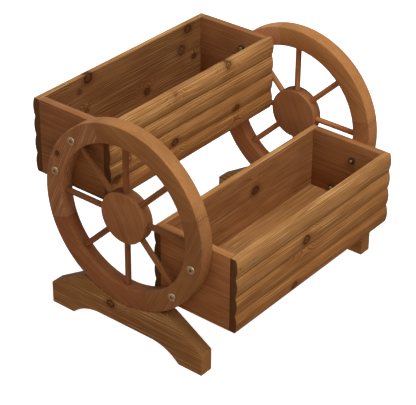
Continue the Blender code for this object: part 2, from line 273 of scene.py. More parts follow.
class FirSurface(TreeMaker):
    """Stained fir on one piece, in mm along its plank, out of its face and across it."""

    aslant = {1: 0.25, 2: 0.55}
    smooth = {"interpolation_type": "SMOOTHSTEP"}

    def __init__(
        self, tree: bpy.types.NodeTree, fir: StainedFir, grain: Grain, carried: bool
    ) -> None:
        """Lays the plank's axes.

        Args:
            tree: The material's tree.
            fir: The finish.
            grain: How the piece lies in its plank.
            carried: Reads the piece's own grain attribute.
        """
        super().__init__(tree)
        self.fir, self.grain, self.carried = fir, grain, carried
        if carried:
            self.local = self.add("ShaderNodeAttribute", output="Vector", attribute_name="grain")
        else:
            place = self.add("ShaderNodeTexCoord", output="Object")
            turn = grain.rotation().to_euler()
            self.local = self.add(
                "ShaderNodeMapping",
                {"Vector": place, "Location": grain.middle, "Rotation": turn, "Scale": (MM,) * 3},
                vector_type="TEXTURE",
            )
        away = tuple(grain.seed * step for step in (131.7, 57.3, 91.1))
        self.seeded = self.add(VECTOR, {0: self.local, 1: away}, "ADD")
        self.lean = self.add(MATH, {0: self._facing(grain.along)}, "ABSOLUTE")

    def build(self) -> None:
        """Makes the colour, the raised grain and the gloss, and ends the tree."""
        radius, marks = self._ring_radius()
        soak, ridge = self._ring_lines(radius)
        fibre = self._figure(Figure.FIBRE)
        colour = self._ground(soak, ridge, fibre)
        for core, halo in marks:
            colour = self._stained(colour, halo, self.fir.soak)
            colour = self._stained(colour, core, self.fir.knot)
        if self.fir.groove_pitch:
            colour = self._grooves(colour)
        if self.fir.hub_mm:
            colour = self._finger_joint(colour)
        # Painted shade on faces cut aslant to the grain, such as the foot's sloped shoulders.
        if self.fir.bevel < 1.0:
            shade = self.add(
                RANGE, {"Value": self.lean, 1: 0.3, 2: 0.55, 3: 1.0, 4: self.fir.bevel}
            )
            colour = self.add(VECTOR, {0: colour, "Scale": shade}, "SCALE")
        if not self.carried:
            colour = self._end_grain(colour, soak)
        # Painted shade on the siding's inner face, inside the box.
        if min(self.fir.inside) < 1.0:
            colour = self._inner_face(colour)
        height = self.add(MATH, {0: ridge, 1: 0.55, 2: fibre}, "MULTIPLY_ADD")
        normal = self.add(
            "ShaderNodeBump", {"Strength": 0.35, "Distance": 0.0005, "Height": height}
        )
        dull, rough = self.fir.roughness - 0.07, self.fir.roughness + 0.09
        gloss = self.add(RANGE, {"Value": fibre, 1: 0.3, 2: 0.7, 3: dull, 4: rough})
        look = {"Base Color": colour, "Roughness": gloss, "Normal": normal}
        look |= {"IOR": 1.47, "Specular IOR Level": 0.12}
        shader = self.add("ShaderNodeBsdfPrincipled", look)
        self.add("ShaderNodeOutputMaterial", {"Surface": shader})

    def _figure(self, figure: Figure) -> Socket:
        """One of the wood's patterns, from 0 to 1, in the plank's own axes."""
        per_mm, octaves = figure.value
        place = self.add(VECTOR, {0: self.seeded, 1: per_mm}, "MULTIPLY")
        look = {"Vector": place, "Scale": 1.0, "Detail": octaves, "Roughness": 0.58}
        return self.add("ShaderNodeTexNoise", look)

    def _facing(self, way: Vector) -> Socket:
        """The cosine between the surface and a direction."""
        look = self.add("ShaderNodeNewGeometry", output="Normal")
        return self.add(VECTOR, {0: look, 1: way}, "DOT_PRODUCT", output="Value")

    def _stained(self, colour: Any, share: Any, stain: Any) -> Socket:
        """Lays a stain over a share of a colour; a hex stain takes the board's own tone."""
        if isinstance(stain, str):
            stain = linear(stain, self.fir.tone)
        return self.add(
            "ShaderNodeMix", {0: share, 6: colour, 7: stain}, output=2, data_type="RGBA"
        )

    def _ring_radius(self) -> tuple[Socket, list[tuple]]:
        """The distance from the pith in mm, bent round the knots.

        Returns:
            The radius, and each knot's core and halo as masks.
        """
        flat = self.add(VECTOR, {0: self.local, 1: (0, 1, 1)}, "MULTIPLY")
        radius = self.add(
            VECTOR, {0: flat, 1: (0, *self.grain.sawn.value)}, "DISTANCE", output="Value"
        )
        wave = self._figure(Figure.RING_WAVE)
        radius = self.add(MATH, {0: wave, 1: 2 * self.fir.wobble_mm, 2: radius}, "MULTIPLY_ADD")
        marks = []
        ragged = self._figure(Figure.KNOT_EDGE) if self.grain.knots else None
        for knot in self.grain.knots:
            middle = (knot.along, 0, knot.across)
            away = self.add(VECTOR, {0: self.local, 1: middle}, "SUBTRACT")
            size = (0.85 / knot.radius, 0, 1 / knot.radius)
            away = self.add(VECTOR, {0: away, 1: size}, "MULTIPLY")
            reach = self.add(VECTOR, {0: away}, "LENGTH", output="Value")
            squared = self.add(MATH, {0: reach, 1: reach}, "MULTIPLY")
            fall = self.add(MATH, {0: squared, 1: -0.16}, "MULTIPLY")
            hump = self.add(MATH, {0: fall}, "EXPONENT")
            radius = self.add(MATH, {0: hump, 1: 3.4 * knot.radius, 2: radius}, "MULTIPLY_ADD")
            marks.append(self._knot_marks(reach, ragged, knot.strength))
        return radius, marks

    def _knot_marks(self, reach: Socket, ragged: Socket, strength: float) -> tuple:
        """A knot's ringed core and its halo as masks.

        Args:
            reach: The distance from the knot's middle, in its own radii.
            ragged: The noise that frays its edge.
            strength: How dark the knot is.

        Returns:
            The core and the halo.
        """
        edge = self.add(MATH, {0: ragged, 1: 0.9, 2: reach}, "MULTIPLY_ADD")
        edge = self.add(MATH, {0: edge, 1: 0.45}, "SUBTRACT")
        disc = self.add(RANGE, {"Value": edge, 1: 1.15, 2: 0.9, 3: 0.0, 4: strength}, **self.smooth)
        ring = self.add(MATH, {0: edge, 1: 0.42}, "PINGPONG")
        ring = self.add(RANGE, {"Value": ring, 1: 0.18, 2: 0.36, 3: 1.0, 4: 0.3})
        core = self.add(MATH, {0: disc, 1: ring}, "MULTIPLY")
        halo = self.add(
            RANGE, {"Value": edge, 1: 2.4, 2: 0.9, 3: 0.0, 4: 0.6 * strength}, **self.smooth
        )
        return core, halo

    def _ring_lines(self, radius: Socket) -> tuple:
        """Dark soaked bands and thin pale ridges, one pair for each growth ring."""
        jitter = self._figure(Figure.RING_JITTER)
        ring = self.add(MATH, {0: radius, 1: 1 / self.fir.ring_mm}, "MULTIPLY")
        ring = self.add(MATH, {0: jitter, 1: 0.9, 2: ring}, "MULTIPLY_ADD")
        phase = self.add(MATH, {0: ring}, "FRACT")
        rising = self.add(RANGE, {"Value": phase, 1: 0.25, 2: 0.8}, **self.smooth)
        falling = self.add(RANGE, {"Value": phase, 1: 0.92, 2: 0.8}, **self.smooth)
        soak = self.add(MATH, {0: rising, 1: falling}, "MULTIPLY")
        dense = self._figure(Figure.SOAKED_PATCH)
        dense = self.add(RANGE, {"Value": dense, 1: 0.4, 2: 0.62, 3: 0.15, 4: 1.25})
        soak = self.add(MATH, {0: soak, 1: dense}, "MULTIPLY")
        late = self.add(RANGE, {"Value": phase, 1: 0.82, 2: 0.93}, **self.smooth)
        patchy = self._figure(Figure.PALE_PATCH)
        patchy = self.add(RANGE, {"Value": patchy, 1: 0.42, 2: 0.66})
        ridge = self.add(MATH, {0: late, 1: patchy}, "MULTIPLY")
        return soak, ridge

    def _ground(
        self,
        soak: Socket,
        ridge: Socket,
        fibre: Socket,
    ) -> Socket:
        """The stain's tones by blotches, fibres and rings, plainer on faces cut aslant."""
        fir = self.fir
        blotch = self._figure(Figure.BLOTCH)
        tone = self.add(MATH, {0: fibre, 1: blotch}, "ADD")
        tone = self.add(RANGE, {"Value": tone, 1: 0.76, 2: 1.24})
        colour = self._stained(linear(fir.deep, fir.tone), tone, fir.body)
        weight = self.add(
            RANGE, {"Value": self.lean, **self.aslant, 3: fir.rings, 4: 0.3 * fir.rings}
        )
        weight = self.add(MATH, {0: soak, 1: weight}, "MULTIPLY")
        colour = self._stained(colour, weight, fir.soak)
        streak = self._figure(Figure.STREAK)
        streak = self.add(RANGE, {"Value": streak, 1: 0.57, 2: 0.7})
        pale = self.add(MATH, {0: streak, 1: ridge}, "MAXIMUM")
        raised = self.add(
            RANGE, {"Value": self.lean, **self.aslant, 3: fir.streaks, 4: 0.1 * fir.streaks}
        )
        pale = self.add(MATH, {0: pale, 1: raised}, "MULTIPLY")
        return self._stained(colour, pale, fir.ridge)

    def _grooves(self, colour: Socket) -> Socket:
        """Painted light and shade down the siding, and dark groove lines that are partly pooled
        stain and partly painted shade.
        """
        place = self.add("ShaderNodeTexCoord", output="Object")
        up = self.add("ShaderNodeSeparateXYZ", {0: place}, output="Z")
        up = self.add(MATH, {0: up, 1: self.fir.groove_start}, "SUBTRACT")
        logs = self.add(MATH, {0: up, 1: 1 / self.fir.groove_pitch}, "MULTIPLY")
        # A dark line along each groove on the outer face: partly stain pooled there, partly painted
        # shade.
        near = self.add(MATH, {0: logs, 1: 0.5}, "PINGPONG")
        pooled_stain_and_shade = self.add(RANGE, {"Value": near, 1: 0.05, 2: 0.0, 3: 0.0, 4: 0.95}, **self.smooth)
        facing = self._facing(self.grain.face)
        outer = self.add(RANGE, {"Value": facing, 1: 0.5, 2: 0.8})
        pooled_stain_and_shade = self.add(MATH, {0: pooled_stain_and_shade, 1: outer}, "MULTIPLY")
        # Painted shade and light: each log darker towards its foot and lighter towards its top, on
        # the outer face.
        climb = self.add(MATH, {0: logs}, "FRACT")
        run = self.add(RANGE, {"Value": climb, 1: 0.05, 2: 0.85, 3: -0.08, 4: 0.07})
        run = self.add(MATH, {0: run, 1: outer, 2: 1.0}, "MULTIPLY_ADD")
        colour = self.add(VECTOR, {0: colour, "Scale": run}, "SCALE")
        # Painted shade and light by height: the board darker and redder towards its foot and paler
        # towards its top, except on its inner face.
        painted_shade_by_height = self.add(MATH, {0: logs, 1: 1 / self.fir.groove_count}, "MULTIPLY")
        painted_shade_by_height = self._stained((*self.fir.drained, 1), painted_shade_by_height, (*self.fir.faded, 1))
        shown = self.add(RANGE, {"Value": facing, 1: -0.6, 2: -0.3})
        painted_shade_by_height = self._stained((1, 1, 1, 1), shown, painted_shade_by_height)
        colour = self.add(VECTOR, {0: colour, 1: painted_shade_by_height}, "MULTIPLY")
        return self._stained(colour, pooled_stain_and_shade, self.fir.soak)

    def _finger_joint(self, colour: Socket) -> Socket:
        """Glue lines of the fingers that lock neighbouring felloes, seen on the tread.

        Counted from the hub, a felloe's two joints lie at 45 degrees in its plane. The fingers
        are 11 mm long and 2.5 mm apart.
        """
        bend = self.add(VECTOR, {0: self.local, 1: (0, 0, self.fir.hub_mm)}, "ADD")
        bend = self.add(VECTOR, {0: bend}, "ABSOLUTE")
        split = self.add("ShaderNodeSeparateXYZ", {0: bend}).node
        gap = self.add(MATH, {0: split.outputs["Z"], 1: split.outputs["X"]}, "SUBTRACT")
        near = self.add(RANGE, {"Value": gap, 1: 11.0, 2: 9.5})
        depth = self.add("ShaderNodeSeparateXYZ", {0: self.local}, output="Y")
        depth = self.add(MATH, {0: depth, 1: 0.2}, "MULTIPLY")
        comb = self.add(MATH, {0: depth, 1: 0.5}, "PINGPONG")
        line = self.add(RANGE, {"Value": comb, 1: 0.13, 2: 0.05, 3: 0.0, 4: 0.6})
        look = self.add("ShaderNodeNewGeometry", output="Normal")
        side = self.add("ShaderNodeSeparateXYZ", {0: look}, output="X")
        side = self.add(MATH, {0: side}, "ABSOLUTE")
        tread = self.add(RANGE, {"Value": side, 1: 0.6, 2: 0.3})
        mask = self.add(MATH, {0: near, 1: line}, "MULTIPLY")
        mask = self.add(MATH, {0: mask, 1: tread}, "MULTIPLY")
        seam = self.add(RANGE, {"Value": gap, 1: 0.9, 2: 0.4, 3: 0.0, 4: 0.12})
        mask = self.add(MATH, {0: mask, 1: seam}, "MAXIMUM")
        return self._stained(colour, mask, self.fir.end)

    def _end_grain(self, colour: Socket, soak: Socket) -> Socket:
        """Darkens faces cut across the grain, which drink far more stain."""
        cut = self.add(
            RANGE, {"Value": self.lean, 1: 0.72, 2: 0.97, 3: 0.0, 4: self.fir.end_share},
            **self.smooth,
        )
        rings = self.add(MATH, {0: soak, 1: 0.6}, "MULTIPLY")
        dark = self._stained(linear(self.fir.end, self.fir.tone), rings, self.fir.soak)
        return self._stained(colour, cut, dark)

    def _inner_face(self, colour: Socket) -> Socket:
        """Painted shade on the face that turns away from the board's show face, inside the box."""
        share = self.add(RANGE, {"Value": self._facing(self.grain.face), 1: -0.9, 2: -0.6})
        shade = self._stained((*self.fir.inside, 1), share, (1, 1, 1, 1))
        return self.add(VECTOR, {0: colour, 1: shade}, "MULTIPLY")


@dataclass(frozen=True)
class PlatedSteel:
    """Zinc-plated steel with a passivated film: a soft metal gloss with fine scuffs."""

    name: str
    colour: str
    worn: str
    roughness: float = 0.42

    def material(self) -> Finish:
        """Makes the finish."""
        material = blank_material(self.name)
        add = TreeMaker(material.node_tree).add
        place = add("ShaderNodeTexCoord", output="Object")
        cloud = add("ShaderNodeTexNoise", {"Vector": place, "Scale": 420.0, "Detail": 3.0})
        share = add(RANGE, {"Value": cloud, 1: 0.4, 2: 0.65})
        tones = {0: share, 6: linear(self.colour), 7: linear(self.worn)}
        colour = add("ShaderNodeMix", tones, output=2, data_type="RGBA")
        dull, rough = self.roughness - 0.1, self.roughness + 0.15
        gloss = add(RANGE, {"Value": cloud, 1: 0.3, 2: 0.7, 3: dull, 4: rough})
        look = {"Base Color": colour, "Roughness": gloss, "Metallic": 0.85}
        add("ShaderNodeOutputMaterial", {"Surface": add("ShaderNodeBsdfPrincipled", look)})
        return material


def new_object(name: str, shape: Shape) -> Thing:
    """Turns a closed bmesh into an object with its faces pointing out."""
    bmesh.ops.recalc_face_normals(shape, faces=shape.faces)
    mesh = bpy.data.meshes.new(name)
    shape.to_mesh(mesh)
    shape.free()
    obj = bpy.data.objects.new(name, mesh)
    bpy.context.scene.collection.objects.link(obj)
    return obj


def prism(name: str, outline: Sequence[Point2], low_x: float, high_x: float) -> Thing:
    """Makes a closed (y, z) outline extruded along X."""
    shape = bmesh.new()
    face = shape.faces.new([shape.verts.new((low_x, y, z)) for y, z in outline])
    made = bmesh.ops.extrude_face_region(shape, geom=[face])
    moved = [item for item in made["geom"] if isinstance(item, bmesh.types.BMVert)]
    bmesh.ops.translate(shape, verts=moved, vec=(high_x - low_x, 0, 0))
    return new_object(name, shape)


def turned(name: str, profile: Sequence[Point2], segments: int) -> Thing:
    """Makes a closed turned body about Z from (along, radius) points."""
    shape = bmesh.new()
    points = [shape.verts.new((radius, 0, along)) for along, radius in profile]
    edges = [shape.edges.new(pair) for pair in zip(points, points[1:])]
    bmesh.ops.spin(
        shape,
        geom=points + edges,
        cent=(0, 0, 0),
        axis=(0, 0, 1),
        angle=2 * math.pi,
        steps=segments,
        use_merge=True,
    )
    bmesh.ops.remove_doubles(shape, verts=shape.verts, dist=1e-6)
    return new_object(name, shape)


def add_loop(shape: Shape, along: float, radii: Sequence[float]) -> list:
    """Adds a loop of points about Z, one for each radius."""
    turns = [2 * math.pi * i / len(radii) for i in range(len(radii))]
    return [
        shape.verts.new((radius * math.cos(turn), radius * math.sin(turn), along))
        for radius, turn in zip(radii, turns)
    ]


def add_skin(shape: Shape, first: list, second: list) -> None:
    """Joins two loops by a strip of faces."""
    for i in range(len(first)):
        after = (i + 1) % len(first)
        shape.faces.new((first[i], first[after], second[after], second[i]))


def round_edges(obj: Thing, width: float, degrees: float) -> None:
    """Adds a bevel to the edges that turn by more than an angle."""
    bevel = obj.modifiers.new("rounding", "BEVEL")
    bevel.width = width
    bevel.segments = 2
    bevel.limit_method = "ANGLE"
    bevel.angle_limit = math.radians(degrees)
    bevel.harden_normals = False


def settle(obj: Thing, smooth_degrees: float = 40.0) -> Thing:
    """Turns an object's evaluated modifiers into a plain mesh, shaded smooth up to an angle."""
    graph = bpy.context.evaluated_depsgraph_get()
    mesh = bpy.data.meshes.new_from_object(obj.evaluated_get(graph))
    obj.modifiers.clear()
    obj.data = mesh
    mesh.name = obj.name
    mesh.shade_smooth()
    mesh.set_sharp_from_angle(angle=math.radians(smooth_degrees))
    return obj


def dress(obj: Thing, material: Finish, slot: str, *nodes: str) -> Thing:
    """Gives a finished piece its material and its body, and hides the CAD nodes that it stands for.
    """
    obj.data.materials.clear()
    obj.data.materials.append(material)
    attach(obj, BODY)
    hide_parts(*nodes)
    LOG.info("%s: %d faces", obj.name, len(obj.data.polygons))
    return obj


class GeometryRecipe(TreeMaker):
    """A geometry tree under construction, with named inputs."""

    def __init__(self, name: str, inputs: dict[str, str]) -> None:
        """Starts a tree.

        Args:
            name: The tree's name.
            inputs: Socket kind by input name.
        """
        super().__init__(bpy.data.node_groups.new(name, "GeometryNodeTree"))
        panel = self.tree.interface
        panel.new_socket(name="Geometry", in_out="INPUT", socket_type="NodeSocketGeometry")
        self.keys: dict[str, str] = {}
        for label, kind in inputs.items():
            socket = panel.new_socket(name=label, in_out="INPUT", socket_type=f"NodeSocket{kind}")
            self.keys[label] = socket.identifier
        panel.new_socket(name="Geometry", in_out="OUTPUT", socket_type="NodeSocketGeometry")
        self.entry = self.tree.nodes.new("NodeGroupInput")

    def take(self, label: str) -> Socket:
        """The socket of a named input."""
        return self.entry.outputs[label]

    def close(self, geometry: Socket) -> "GeometryRecipe":
        """Realizes the instances, sets the material and ends the tree."""
        solid = self.add("GeometryNodeRealizeInstances", {0: geometry})
        look = {0: solid, "Material": self.take("Material")}
        self.add("NodeGroupOutput", {0: self.add("GeometryNodeSetMaterial", look)})
        return self

    def apply(self, obj: Thing, **values: Any) -> None:
        """Puts the tree on an object.

        Args:
            obj: The object that carries the modifier.
            **values: Input values, with spaces in their names written as underscores.
        """
        modifier = obj.modifiers.new(self.tree.name, "NODES")
        modifier.node_group = self.tree
        for label, value in values.items():
            modifier[self.keys[label.replace("_", " ")]] = value


def log_board_recipe() -> GeometryRecipe:
    """A board with a row of shallow log arcs on its outer face, standing on its long edge."""
    inputs = {
        "Length": "Float", "Height": "Float", "Edge": "Float", "Rise": "Float", "Logs": "Int",
        "Facing": "Float", "Material": "Material",
    }
    recipe = GeometryRecipe("log board", inputs)
    add, take = recipe.add, recipe.take
    rows = add(MATH, {0: take("Logs"), 1: 12.0, 2: 1.0}, "MULTIPLY_ADD")
    size = {"Size X": take("Length"), "Size Y": take("Height")}
    grid = add("GeometryNodeMeshGrid", {**size, "Vertices X": 60, "Vertices Y": rows})
    place = add("GeometryNodeInputPosition")
    split = add("ShaderNodeSeparateXYZ", {0: place}).node
    share = add(MATH, {0: split.outputs["Y"], 1: take("Height")}, "DIVIDE")
    share = add(MATH, {0: share, 1: take("Logs"), 2: 200.0}, "MULTIPLY_ADD")
    turn = add(MATH, {0: share}, "FRACT")
    turn = add(MATH, {0: turn, 1: 2.0, 2: -1.0}, "MULTIPLY_ADD")
    bowl = add(MATH, {0: turn, 1: turn}, "MULTIPLY")
    arc = add(MATH, {0: 1.0, 1: bowl}, "SUBTRACT")
    depth = add(MATH, {0: arc, 1: take("Rise"), 2: take("Edge")}, "MULTIPLY_ADD")
    depth = add(MATH, {0: depth, 1: take("Facing")}, "MULTIPLY")
    spot = {"X": split.outputs["X"], "Y": depth, "Z": split.outputs["Y"]}
    outer = add("ShaderNodeCombineXYZ", spot)
    face = add("GeometryNodeSetPosition", {0: grid, "Position": outer})
    flush = {0: face, "Offset Scale": 0.0, "Individual": False}
    push = add("GeometryNodeExtrudeMesh", flush).node
    back = add(VECTOR, {0: place, 1: (1, 0, 1)}, "MULTIPLY")
    moved = {0: push.outputs["Mesh"], "Selection": push.outputs["Top"], "Position": back}
    walls = add("GeometryNodeFlipFaces", {0: add("GeometryNodeSetPosition", moved)})
    whole = add("GeometryNodeJoinGeometry", {0: [face, walls]})
    return recipe.close(add("GeometryNodeMergeByDistance", {0: whole, "Distance": 1e-5}))


def dowel_ring_recipe() -> GeometryRecipe:
    """Dowels that run out from a hub in a ring. Each carries its own grain, in mm."""
    inputs = {
        "Count": "Int", "Inner": "Float", "Outer": "Float", "Radius": "Float", "Centre": "Vector",
        "Material": "Material",
    }
    recipe = GeometryRecipe("dowel ring", inputs)
    add, take = recipe.add, recipe.take
    on_points = {"data_type": "FLOAT_VECTOR", "domain": "POINT"}
    length = add(MATH, {0: take("Outer"), 1: take("Inner")}, "SUBTRACT")
    size = {"Radius": take("Radius"), "Depth": length}
    dowel = add("GeometryNodeMeshCylinder", {"Vertices": 28, "Side Segments": 24, **size})
    place = add("GeometryNodeInputPosition")
    split = add("ShaderNodeSeparateXYZ", {0: place}).node
    own = {"X": split.outputs["Z"], "Y": split.outputs["X"], "Z": split.outputs["Y"]}
    grain = add("ShaderNodeCombineXYZ", own)
    grain = add(VECTOR, {0: grain, "Scale": 1000.0}, "SCALE")
    stored = {0: dowel, "Name": "grain", "Value": grain}
    dowel = add("GeometryNodeStoreNamedAttribute", stored, **on_points)
    both = add(MATH, {0: take("Outer"), 1: take("Inner")}, "ADD")
    middle = add(MATH, {0: both, 1: 0.5}, "MULTIPLY")
    ring = add("GeometryNodeMeshCircle", {"Vertices": take("Count"), "Radius": middle})
    lean = add("FunctionNodeAlignRotationToVector", {"Vector": place}, axis="Z")
    placed = {"Points": ring, "Instance": dowel, "Rotation": lean}
    spokes = add("GeometryNodeInstanceOnPoints", placed)
    stored = {0: spokes, "Name": "dowel", "Value": add("GeometryNodeInputIndex")}
    spokes = add("GeometryNodeStoreNamedAttribute", stored, data_type="FLOAT", domain="INSTANCE")
    spokes = add("GeometryNodeRealizeInstances", {0: spokes})
    number = add("GeometryNodeInputNamedAttribute", {"Name": "dowel"}, data_type="FLOAT")
    away = {0: (173.0, 31.0, 47.0), "Scale": number}
    shift = add(VECTOR, away, "SCALE")
    grain = add("GeometryNodeInputNamedAttribute", {"Name": "grain"}, data_type="FLOAT_VECTOR")
    grain = add(VECTOR, {0: grain, 1: shift}, "ADD")
    stored = {0: spokes, "Name": "grain", "Value": grain}
    spokes = add("GeometryNodeStoreNamedAttribute", stored, **on_points)
    upright = {"Translation": take("Centre"), "Rotation": (0, math.pi / 2, 0)}
    return recipe.close(add("GeometryNodeTransform", {0: spokes, **upright}))


def fastener_recipe() -> GeometryRecipe:
    """One fastener on each point, each turned by chance about its own axis."""
    inputs = {"Fastener": "Object", "Lean": "Vector", "Seed": "Int", "Material": "Material"}
    recipe = GeometryRecipe("fasteners", inputs)
    add, take = recipe.add, recipe.take
    master = add("GeometryNodeObjectInfo", {"Object": take("Fastener")}, output="Geometry")
    draw = {2: 0.0, 3: 2 * math.pi, "Seed": take("Seed")}
    spin = add("FunctionNodeRandomValue", draw, output=1, data_type="FLOAT")
    turn = add("FunctionNodeEulerToRotation", {0: add("ShaderNodeCombineXYZ", {"Z": spin})})
    lean = add("FunctionNodeEulerToRotation", {0: take("Lean")})
    turn = add("FunctionNodeRotateRotation", {0: turn, 1: lean})
    placed = {"Points": take("Geometry"), "Instance": master, "Rotation": turn}
    return recipe.close(add("GeometryNodeInstanceOnPoints", placed))


def felloe_recipe() -> GeometryRecipe:
    """An arc of rim with rounded edges, in the XY plane round the origin."""
    inputs = {
        "Middle Radius": "Float", "Width": "Float", "Thickness": "Float", "Edge": "Float",
        "Start": "Float", "Sweep": "Float", "Material": "Material",
    }
    recipe = GeometryRecipe("felloe", inputs)
    add, take = recipe.add, recipe.take
    turn = {"Start Angle": take("Start"), "Sweep Angle": take("Sweep")}
    size = {"Resolution": 72, "Radius": take("Middle Radius")}
    arc = add("GeometryNodeCurveArc", {**size, **turn})
    arc = add("GeometryNodeSetCurveNormal", {0: arc}, mode="Z_UP")
    size = {"Width": take("Width"), "Height": take("Thickness")}
    section = add("GeometryNodeCurvePrimitiveQuadrilateral", size)
    eased = {0: section, "Count": 3, "Radius": take("Edge")}
    section = add("GeometryNodeFilletCurve", eased, mode="POLY")
    swept = {"Curve": arc, "Profile Curve": section, "Fill Caps": True}
    return recipe.close(add("GeometryNodeCurveToMesh", swept))


def span(node: str) -> tuple[Vector, Vector, Vector]:
    """A CAD node's lowest corner, highest corner and middle."""
    low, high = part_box(node)
    return low, high, (low + high) / 2


SIDING_KNOTS: dict[tuple[Tier, Wall], tuple[Knot, ...]] = {
    (Tier.LOWER, Wall.FRONT): (Knot(-31.0, -16.0, 8.0), Knot(-58.0, 56.0, 6.3, 0.8)),
    (Tier.UPPER, Wall.FRONT): (
        Knot(85.0, -62.0, 6.3, 0.8),
        Knot(-51.0, -62.0, 4.2, 0.4),
        Knot(108.0, 28.0, 7.0, 0.9),
        Knot(-54.0, 24.0, 7.0, 0.9),
        Knot(-166.0, 6.0, 6.0, 0.6),
        Knot(-194.0, 30.0, 7.4, 0.7),
    ),
    (Tier.LOWER, Wall.BACK): (Knot(33.0, 20.0, 8.0),),
    (Tier.UPPER, Wall.BACK): (
        Knot(-95.0, 60.0, 8.8, 0.9),
        Knot(-116.0, 43.0, 4.5, 0.6),
        Knot(160.0, 56.0, 8.0, 0.8),
        Knot(142.0, 22.0, 8.8, 0.6),
        Knot(177.0, -2.0, 5.2, 0.8),
        Knot(50.0, -22.0, 6.3, 0.9),
        Knot(-101.0, 2.0, 4.5, 0.6),
    ),
}


@dataclass
class PlanterBox:
    """One box: two log-sided boards, two end panels and a floor.

    Attributes:
        shaded: Factors of painted shade on the siding's inner face, by tier.
        siding_seeds: Seeds by wall, moved by siding_step in the lower box.
        end_seeds: Seeds by tier, moved by end_step to each side. floor_seeds go by tier.
        pale_end: The tone of the palest end panel, the lower left one.
    """

    tier: Tier
    recipe: GeometryRecipe
    log_rise: float = 0.0032
    logs: int = 4
    edge_rounding: float = 0.0009
    board_rounding: float = 0.0006
    siding: StainedFir = StainedFir(streaks=0.75, rings=0.8)
    panel: StainedFir = StainedFir(body="#a5693e", deep="#8a522d", streaks=0.22, rings=0.4)
    board: StainedFir = StainedFir(body="#b07746", deep="#955f34")
    shaded: tuple[Colour, Colour] = ((0.65, 0.58, 0.56), (0.95, 0.84, 0.82))
    siding_seeds: tuple[float, float] = (1.3, 4.1)
    siding_step: float = 9.7
    end_seeds: tuple[float, float] = (5.5, 16.0)
    end_step: float = 2.2
    floor_seeds: tuple[float, float] = (3.0, 12.0)
    pale_end: float = 1.24

    def build(self) -> None:
        """Builds and dresses the box's boards."""
        for wall in Wall:
            self._siding(wall)
        for side in Side:
            self._end_panel(side)
        self._floor()

    def _siding(self, wall: Wall) -> None:
        """A board milled with logs outside and left flat inside."""
        node = f"{self.tier.label}_box_{wall.label}_siding"
        low, high, middle = span(node)
        facing, height = wall.value, high.z - low.z
        inner = Vector((middle.x, low.y if facing > 0 else high.y, middle.z))
        obj = new_object(node.replace("siding", "log_siding"), bmesh.new())
        seed = self.siding_seeds[wall is Wall.BACK] + self.siding_step * self.tier.value
        quarter = wall is Wall.FRONT and self.tier is Tier.LOWER
        sawn = Sawn.QUARTER if quarter else Sawn.RIFT
        knots = SIDING_KNOTS[self.tier, wall]
        grain = Grain(inner, Vector((1, 0, 0)), Vector((0, facing, 0)), sawn, seed, knots)
        finish = replace(
            self.siding,
            groove_pitch=height / self.logs,
            groove_start=low.z,
            groove_count=self.logs,
            inside=self.shaded[self.tier.value],
        )
        material = finish.material(f"{self.tier.label} {wall.label} siding stained fir", grain)
        self.recipe.apply(
            obj,
            Length=high.x - low.x,
            Height=height,
            Edge=high.y - low.y - self.log_rise,
            Rise=self.log_rise,
            Logs=self.logs,
            Facing=float(facing),
            Material=material,
        )
        settle(obj)
        obj.data.transform(Matrix.Translation(inner))
        if facing > 0:
            obj.data.flip_normals()
        round_edges(obj, self.edge_rounding, 50)
        settle(obj)
        dress(obj, material, "siding", node)

    def _slab(self, node: str, name: str) -> Thing:
        """A plain board with eased edges."""
        low, high, _ = span(node)
        corners = [(low.y, low.z), (high.y, low.z), (high.y, high.z), (low.y, high.z)]
        obj = prism(name, corners, low.x, high.x)
        round_edges(obj, self.board_rounding, 50)
        return settle(obj)

    def _end_panel(self, side: Side) -> None:
        """An end panel between the siding boards."""
        node = f"{self.tier.label}_box_{side.label}_end"
        obj = self._slab(node, node.replace("_end", "_end_panel"))
        seed = self.end_step * side.value + self.end_seeds[self.tier.value]
        face = Vector((side.value, 0, 0))
        grain = Grain(span(node)[2], Vector((0, 1, 0)), face, Sawn.FLAT, seed)
        pale = self.tier is Tier.LOWER and side is Side.LEFT
        finish = replace(self.panel, tone=self.pale_end if pale else 1.0)
        material = finish.material(f"{self.tier.label} {side.label} end stained fir", grain)
        dress(obj, material, "end_panel", node)

    def _floor(self) -> None:
        """The floor board."""
        node = f"{self.tier.label}_box_floor"
        obj = self._slab(node, f"{node}_board")
        seed = self.floor_seeds[self.tier.value]
        grain = Grain(span(node)[2], Vector((1, 0, 0)), Vector((0, 0, 1)), Sawn.RIFT, seed)
        material = self.board.material(f"{self.tier.label} floor stained fir", grain)
        dress(obj, material, "floor", node)


